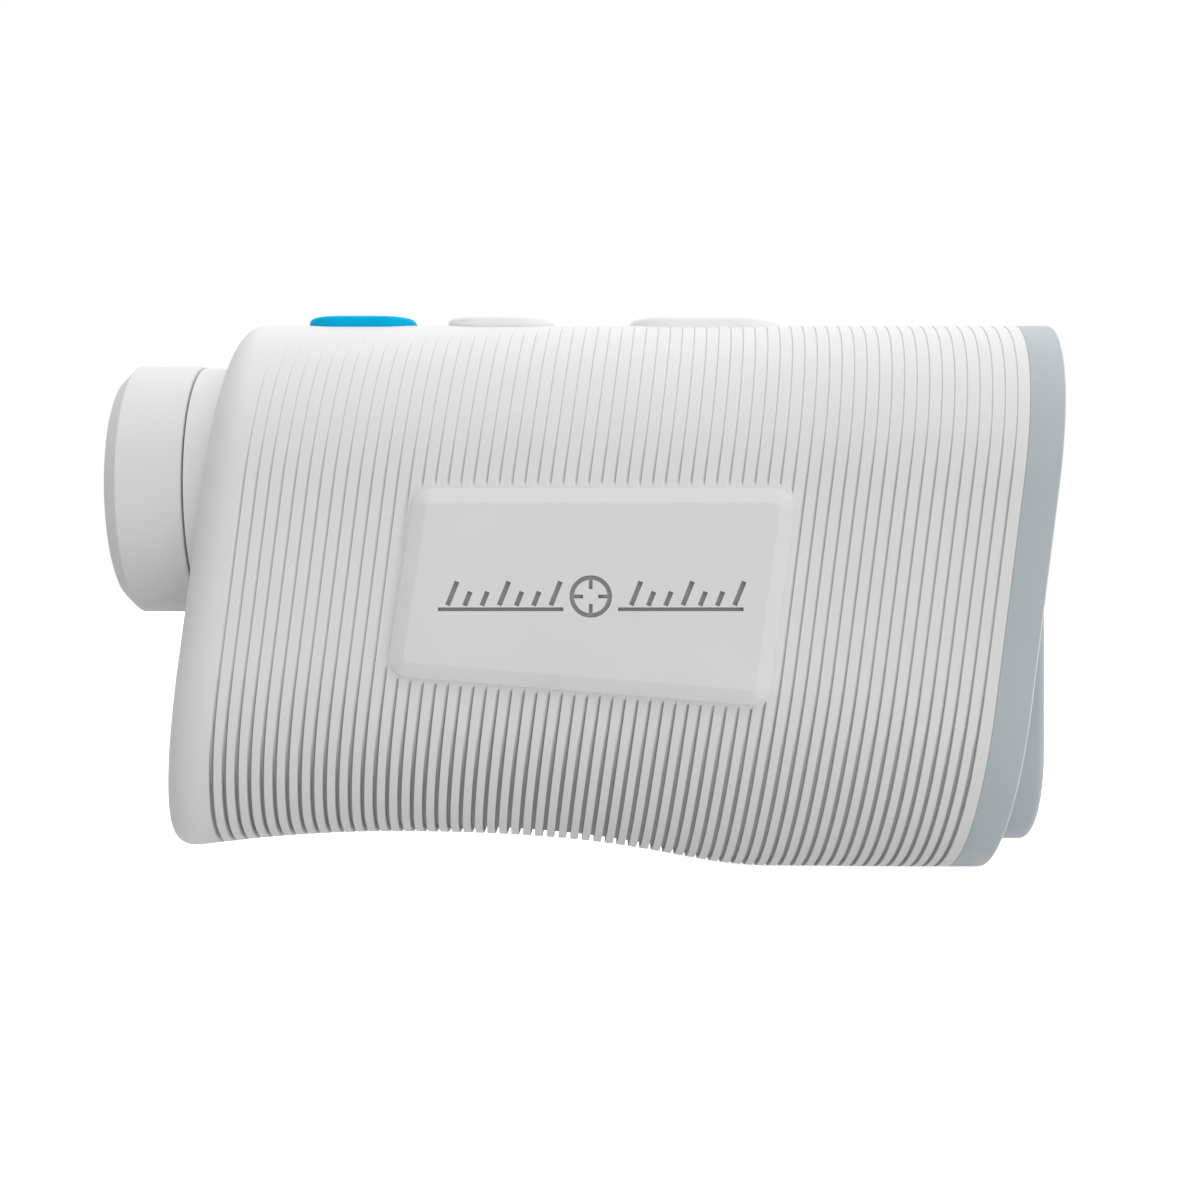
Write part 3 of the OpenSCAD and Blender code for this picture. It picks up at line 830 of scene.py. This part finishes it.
def badge_plate(name, node, side):
    """Bevelled plate on one flank, with softened edges and the engraved mark."""
    wall = PLATE_Y - 0.62
    layers = (
        (HALF_W - 0.6, 0), (wall - 0.08, 0), (wall - 0.02, 0.02), (wall + 0.02, 0.09),
        (PLATE_Y - 0.04, PLATE_BEVEL - 0.1), (PLATE_Y - 0.01, PLATE_BEVEL), (PLATE_Y, PLATE_BEVEL + 0.1),
    )
    rings = [[(p[0], side * y, p[1]) for p in plate_outline(inset)] for y, inset in layers]
    plate = loft(name, rings)
    carve(plate, *mark_cutters(PLATE_Y, side))
    finish_piece(plate, "housing", "plate_grey", node, materials=("plate_grey", "engraving_painted_shade"), angle=12)
    # Painted shade: the engraving's floor and walls get the darker grey.
    paint_faces(plate, 1, in_mark)


badge_plate("badge_plate_right", "right_plate", -1)
badge_plate("badge_plate_left", "left_plate", 1)


# ---------------------------------------------------------------- eyepiece
def eyecup():
    low, high = eyecup_low, eyecup_high
    outer = high.z - AXIS_Z
    chamfer = 1.7
    profile = fillet_loop([
        (13.22, high.x, 0), (outer, high.x, 0.3), (outer, low.x + chamfer, 0.35),
        (outer - chamfer, low.x, 0.35), (12.3, low.x, 0.7), (11.35, low.x + 1.2, 1.0),
        (11.35, low.x + 6.9, 0.1), (13.22, low.x + 6.9, 0),
    ])
    return lathe("eyecup_ring", profile, AXIS_Z, 192)


finish_piece(eyecup(), "dioptre_ring", "eyecup_white", "eyecup")


# ---------------------------------------------------------------- controls
def push_button(name, node, slot):
    """Soft-edged button with a shallow thumb dish."""
    low, high = box_mm(node)
    x = (low.x + high.x) / 2
    length, width, radius = high.x - low.x - 1.8, high.y - low.y - 1.2, 4.2
    edge = 0.55
    rings = [key_ring(x, low.z + 1, length, width, radius)]
    for k in range(8):
        turn = math.pi / 2 * k / 7
        rings.append(key_ring(
            x, high.z - edge + edge * math.sin(turn), length, width, radius, edge * (1 - math.cos(turn)),
        ))
    top = rings[-1]
    dish = 0.32
    for k in range(1, 9):
        keep = 1 - k / 9
        drop = dish * (1 - keep * keep) ** 2
        rings.append([(x + (a - x) * keep, b * keep, high.z - drop) for a, b, _ in top])
    cap = loft(name, rings)
    # Controls in the casing's white take the lighter copy: painted light.
    materials = ("control_white_painted_light",) if slot == "casing_white" else None
    return finish_piece(cap, node, slot, materials=materials, angle=50)


def sprung_key(name, node, slot, cap_node):
    """The visible cap, and the CAD flange and stem below it."""
    cap = push_button(name, node, slot)
    low, high = box_mm(node)
    x = (low.x + high.x) / 2
    flange = loft("flange", [
        key_ring(x, low.z + 0.8, high.x - low.x, high.y - low.y, 4.6),
        key_ring(x, low.z + 1.8, high.x - low.x, high.y - low.y, 4.6),
    ])
    carve(cap, flange, operation="UNION")
    shade(cap, 35)
    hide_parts(cap_node)
    return cap


sprung_key("fire_key", "fire_button", "fire_blue", "fire_button")
sprung_key("mode_key", "mode_button", "casing_white", "mode_button")


def slope_surround():
    """Raised oval with a rounded outer edge and a softened inner edge."""
    top = box_mm("slope_surround")[1].z
    outer = (19.1, 11, 5.45)
    inner = (15, 6.6, 3.25)
    rings = [key_ring(SLOPE_X, 65.2, *outer)]
    for k in range(7):
        turn = math.pi / 2 * k / 6
        rings.append(key_ring(SLOPE_X, top - 0.8 + 0.8 * math.sin(turn), *outer, 0.8 * (1 - math.cos(turn))))
    grown = (inner[0] + 0.8, inner[1] + 0.8, inner[2] + 0.4)
    rings.append(key_ring(SLOPE_X, top, *grown))
    rings.append(key_ring(SLOPE_X, top - 0.12, *grown, 0.28))
    rings.append(key_ring(SLOPE_X, top - 0.4, *inner))
    rings.append(key_ring(SLOPE_X, 65.2, *inner))
    return loft("slope_oval", rings, closed=True)


# The oval takes the lighter copy of the casing white: painted light.
finish_piece(
    slope_surround(), "housing", "casing_white", "slope_surround", materials=("control_white_painted_light",), angle=40,
)


def slider():
    """Thumb slide with five grip ridges."""
    low, high = box_mm("slope_slider")
    x = (low.x + high.x) / 2
    top = high.z - 0.45
    rings = [key_ring(x, low.z + 1.1, 10.2, 5.9, 2.8)]
    for k in range(5):
        turn = math.pi / 2 * k / 4
        z, inset = top - 0.5 + 0.5 * math.sin(turn), 0.5 * (1 - math.cos(turn))
        rings.append(key_ring(x, z, 10.2, 5.9, 2.8, inset))
    body = loft("slope_thumb", rings)
    flange = loft("flange", [key_ring(x, z, 10.2, 8.4, 2) for z in (low.z, low.z + 1.15)])
    ridges = []
    for i in range(-2, 3):
        ridge = [key_ring(x + 1.35 * i, z, 0.7, 4.2, 0.34, inset) for z, inset in (
            (top - 0.3, 0), (top + 0.25, 0), (top + 0.38, 0.06), (top + 0.45, 0.16))]
        ridges.append(loft("ridge", ridge))
    return carve(body, flange, *ridges, operation="UNION")


finish_piece(slider(), "slope_switch", "plate_grey", "slope_slider", angle=35)


# ---------------------------------------------------------------- battery cap
def battery_cap():
    """Coin-slotted disc with a milled rim, on the battery's axis."""
    cap_r, face, seat = 9.4, CAP_FACE, WALL
    profile = fillet_loop([
        (0.6, face + 0.35, 0), (6.4, face + 0.35, 0.2), (6.9, face, 0.2), (cap_r, face, 0.35),
        (cap_r, seat, 0), (8.05, seat, 0), (8.05, seat + 2.4, 0.2), (6, seat + 2.4, 0.1),
        (6, seat + 0.9, 0), (0.6, seat + 0.9, 0),
    ])
    ring = lathe("battery_cap_disc", profile, 0)
    core = rod(0.9, face + 0.35, seat + 0.9, 0, segments=48)
    carve(ring, core, operation="UNION")
    coin = loft("cutter", [
        [(x, b, a) for a, b in rounded_rectangle(1.8, 11, 0.89, 6)] for x in (-3, face + 1.25)
    ])
    seal_groove = lathe("cutter", [(7, seat + 0.15), (9, seat + 0.15), (9, seat + 1.15), (7, seat + 1.15)], 0)
    notches = []
    for i in range(24):
        turn = 2 * math.pi * i / 24
        notch = rod(0.35, -2, face + 0.7, 0, segments=20)
        place(notch, Matrix.Translation((0, 9.55 * math.cos(turn), 9.55 * math.sin(turn))))
        notches.append(notch)
    carve(ring, coin, seal_groove, *notches)
    place(ring, on_battery_axis())
    return ring


finish_piece(battery_cap(), "battery_cap", "casing_white", "battery_cap")


# ---------------------------------------------------------------- CAD nodes that stay
slot_of = {row["node"]: row["material_slot"] for row in frame["record"]["subparts"]}
for node_name, node_piece in frame["nodes"].items():
    if node_piece.hide_render:
        continue
    if not node_piece.material_slots:
        node_piece.data.materials.append(None)
    for material_slot in node_piece.material_slots:
        material_slot.material = MATERIALS[slot_of[node_name]]


# ---------------------------------------------------------------- stage
FLOOR_SIZE, FLOOR_THICKNESS = 9000, 6
floor_corners = [(a * FLOOR_SIZE, b * FLOOR_SIZE) for a, b in ((-1, -1), (1, -1), (1, 1), (-1, 1))]
floor = loft("floor", [[(a, b, z) for a, b in floor_corners] for z in (-FLOOR_THICKNESS, 0)])
floor_material, _, floor_surface = shader("pale_floor", (0.9, 0.9, 0.9), 0.9)
floor_surface.inputs["Emission Color"].default_value = (1, 1, 1, 1)
floor_surface.inputs["Emission Strength"].default_value = 0.72
floor.data.materials.append(floor_material)
floor.visible_diffuse = False

world = bpy.data.worlds.new("studio")
bpy.context.scene.world = world
world.use_nodes = True
sky = world.node_tree
background = sky.nodes["Background"]
where = sky.nodes.new("ShaderNodeTexCoord")
axes = sky.nodes.new("ShaderNodeSeparateXYZ")
sky.links.new(where.outputs["Generated"], axes.inputs["Vector"])


def calc(operation, *values):
    """A maths node in the sky; each value is a number or another node's output."""
    node = sky.nodes.new("ShaderNodeMath")
    node.operation = operation
    for socket, value in zip(node.inputs, values):
        if isinstance(value, (int, float)):
            socket.default_value = value
        else:
            sky.links.new(value, socket)
    return node.outputs["Value"]


# Brightest overhead, dim at the eyepiece end, with fill from low on the camera's side
ahead, aside, up = (axes.outputs[name] for name in "XYZ")
by_height = calc("ADD", calc("MULTIPLY_ADD", aside, 0.5, 0.54), calc("MULTIPLY", up, 0.3))
glow = calc("MULTIPLY", up, by_height)
glow = calc("ADD", glow, calc("MULTIPLY", ahead, calc("MULTIPLY_ADD", ahead, -0.24, 0.36)))
glow = calc("MAXIMUM", calc("ADD", glow, calc("MULTIPLY_ADD", aside, -0.08, 0.73)), 0.02)
seen = sky.nodes.new("ShaderNodeLightPath")
strength = sky.nodes.new("ShaderNodeMix")
strength.inputs["B"].default_value = 1.0
sky.links.new(seen.outputs["Is Camera Ray"], strength.inputs["Factor"])
sky.links.new(glow, strength.inputs["A"])
sky.links.new(strength.outputs["Result"], background.inputs["Strength"])
background.inputs["Color"].default_value = (1, 1, 1, 1)

scene = bpy.context.scene
scene.view_settings.view_transform = "Standard"

camera = bpy.data.cameras.new("camera")
camera.lens = CAMERA_LENS
camera.sensor_width = 36
camera.clip_start = 0.01
camera_stand = bpy.data.objects.new("camera", camera)
camera_stand.location = (CAMERA_X * MM, -CAMERA_DISTANCE * MM, CAMERA_Z * MM)
camera_stand.rotation_euler = (math.pi / 2, 0, 0)
scene.collection.objects.link(camera_stand)
scene.camera = camera_stand
